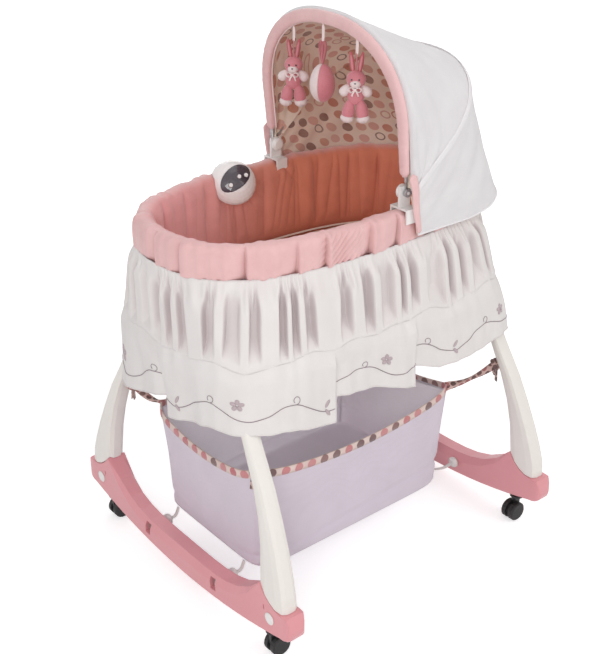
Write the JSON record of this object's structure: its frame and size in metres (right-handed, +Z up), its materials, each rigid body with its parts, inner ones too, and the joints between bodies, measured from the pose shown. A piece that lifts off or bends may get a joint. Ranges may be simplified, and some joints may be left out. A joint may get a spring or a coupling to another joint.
{
  "type": "baby cradle",
  "caption": "Rocking baby cradle: padded oval tub with a gathered skirt, folding hood with hanging toys, curved rocker feet on casters and a cloth basket below.",
  "frame": {"origin": "on the floor under the middle of the object's box", "axes": "+X towards the head end with the hood, +Y towards the baby's left side seen from the foot, +Z up"},
  "size_m": [0.825, 0.76, 1.1869],
  "materials": {
    "rocker_plastic": "satin moulded",
    "leg_plastic": "satin moulded",
    "white_plastic": "satin moulded",
    "caster_plastic": "satin moulded",
    "wheel_plastic": "matte",
    "frame_tube": "painted",
    "floor_board": "plain board",
    "liner_cloth": "woven",
    "pad_cloth": "soft pile",
    "mattress_cloth": "woven",
    "skirt_cloth": "woven",
    "basket_cloth": "woven",
    "tie_cloth": "printed ribbon",
    "strap_webbing": "webbing",
    "hood_cloth": "woven",
    "bow_steel": "plain wire",
    "housing_plastic": "glossy moulded",
    "panel_plastic": "glossy moulded",
    "plush_pink": "plush",
    "plush_white": "plush"
  },
  "bodies": {
    "cradle": {"rocker_head_end": "rocker_plastic", "leg_head_left": "leg_plastic", "rocker_cap_head_left": "white_plastic", "basket_tie_head_left": "tie_cloth", "basket_strap_head_left": "strap_webbing", "leg_head_right": "leg_plastic", "rocker_cap_head_right": "white_plastic", "basket_tie_head_right": "tie_cloth", "basket_strap_head_right": "strap_webbing", "rocker_foot_end": "rocker_plastic", "leg_foot_left": "leg_plastic", "rocker_cap_foot_left": "white_plastic", "basket_tie_foot_left": "tie_cloth", "basket_strap_foot_left": "strap_webbing", "leg_foot_right": "leg_plastic", "rocker_cap_foot_right": "white_plastic", "basket_tie_foot_right": "tie_cloth", "basket_strap_foot_right": "strap_webbing", "base_frame": "frame_tube", "tub_floor_board": "floor_board", "tub_wall": "liner_cloth", "rim_rail": "frame_tube", "rim_pad": "pad_cloth", "mattress": "mattress_cloth", "skirt": "skirt_cloth", "basket": "basket_cloth", "canopy_cover": "hood_cloth", "canopy_clamp_left": "white_plastic", "canopy_pivot_left": "white_plastic", "canopy_clamp_right": "white_plastic", "canopy_pivot_right": "white_plastic", "music_unit_housing": "housing_plastic", "music_unit_panel": "panel_plastic"},
    "canopy_rear": {"rear_bow": "bow_steel"},
    "canopy_front": {"front_bow": "bow_steel", "canopy_binding": "pad_cloth"},
    "toy_left": {"bunny_left_head": "plush_pink", "bunny_left_body": "plush_white", "bunny_left_arm_left": "plush_pink", "bunny_left_arm_right": "plush_pink", "bunny_left_leg_left": "plush_pink", "bunny_left_leg_right": "plush_pink"},
    "toy_middle": {"toy_egg": "plush_pink"},
    "toy_right": {"bunny_right_head": "plush_pink", "bunny_right_body": "plush_white", "bunny_right_arm_left": "plush_pink", "bunny_right_arm_right": "plush_pink", "bunny_right_leg_left": "plush_pink", "bunny_right_leg_right": "plush_pink"},
    "caster_head_left": {"caster_body_head_left": "caster_plastic"},
    "caster_roller_head_left": {"caster_wheels_head_left": "wheel_plastic"},
    "caster_head_right": {"caster_body_head_right": "caster_plastic"},
    "caster_roller_head_right": {"caster_wheels_head_right": "wheel_plastic"},
    "caster_foot_left": {"caster_body_foot_left": "caster_plastic"},
    "caster_roller_foot_left": {"caster_wheels_foot_left": "wheel_plastic"},
    "caster_foot_right": {"caster_body_foot_right": "caster_plastic"},
    "caster_roller_foot_right": {"caster_wheels_foot_right": "wheel_plastic"},
    "button_1": {"music_button_1": "white_plastic"},
    "button_2": {"music_button_2": "white_plastic"},
    "button_3": {"music_button_3": "white_plastic"}
  },
  "joints": [
    {"name": "rear_bow_fold", "type": "hinge", "parent": "cradle", "child": "canopy_rear", "pos_m": [0.044, 0, 0.862], "axis": [0, 1, 0], "range_deg": [0, 17.5], "deforming": ["canopy_cover"]},
    {"name": "canopy_fold", "type": "hinge", "parent": "canopy_rear", "child": "canopy_front", "pos_m": [0.044, 0, 0.862], "axis": [0, 1, 0], "range_deg": [0, 35], "deforming": ["canopy_cover"]},
    {"name": "toy_left_swing", "type": "hinge", "parent": "canopy_front", "child": "toy_left", "pos_m": [0.01526, 0.104, 1.13542], "axis": [0, 1, 0], "range_deg": [-60, 45]},
    {"name": "toy_middle_swing", "type": "hinge", "parent": "canopy_front", "child": "toy_middle", "pos_m": [0.01322, 0.011, 1.15489], "axis": [0, 1, 0], "range_deg": [-60, 45]},
    {"name": "toy_right_swing", "type": "hinge", "parent": "canopy_front", "child": "toy_right", "pos_m": [0.01446, -0.087, 1.14309], "axis": [0, 1, 0], "range_deg": [-60, 45]},
    {"name": "swivel_head_left", "type": "hinge", "parent": "cradle", "child": "caster_head_left", "pos_m": [0.3675, 0.301, 0.06], "axis": [0, 0, 1], "continuous": true},
    {"name": "roll_head_left", "type": "hinge", "parent": "caster_head_left", "child": "caster_roller_head_left", "pos_m": [0.3575, 0.301, 0.023], "axis": [0, 1, 0], "continuous": true},
    {"name": "swivel_head_right", "type": "hinge", "parent": "cradle", "child": "caster_head_right", "pos_m": [0.3675, -0.301, 0.06], "axis": [0, 0, 1], "continuous": true},
    {"name": "roll_head_right", "type": "hinge", "parent": "caster_head_right", "child": "caster_roller_head_right", "pos_m": [0.3575, -0.301, 0.023], "axis": [0, 1, 0], "continuous": true},
    {"name": "swivel_foot_left", "type": "hinge", "parent": "cradle", "child": "caster_foot_left", "pos_m": [-0.3675, 0.301, 0.06], "axis": [0, 0, 1], "continuous": true},
    {"name": "roll_foot_left", "type": "hinge", "parent": "caster_foot_left", "child": "caster_roller_foot_left", "pos_m": [-0.3575, 0.301, 0.023], "axis": [0, 1, 0], "continuous": true},
    {"name": "swivel_foot_right", "type": "hinge", "parent": "cradle", "child": "caster_foot_right", "pos_m": [-0.3675, -0.301, 0.06], "axis": [0, 0, 1], "continuous": true},
    {"name": "roll_foot_right", "type": "hinge", "parent": "caster_foot_right", "child": "caster_roller_foot_right", "pos_m": [-0.3575, -0.301, 0.023], "axis": [0, 1, 0], "continuous": true},
    {"name": "button_1_press", "type": "slide", "parent": "cradle", "child": "button_1", "axis": [0.2824, 0.7357, -0.6157], "range_m": [0, 0.0015], "stiffness_N_per_m": 300, "springref_m": -0.0005},
    {"name": "button_2_press", "type": "slide", "parent": "cradle", "child": "button_2", "axis": [0.2824, 0.7357, -0.6157], "range_m": [0, 0.0015], "stiffness_N_per_m": 300, "springref_m": -0.0005},
    {"name": "button_3_press", "type": "slide", "parent": "cradle", "child": "button_3", "axis": [0.2824, 0.7357, -0.6157], "range_m": [0, 0.0015], "stiffness_N_per_m": 300, "springref_m": -0.0005}
  ],
  "couplings": [
    {"joint": "rear_bow_fold", "follows": "canopy_fold", "ratio": 0.5}
  ]
}
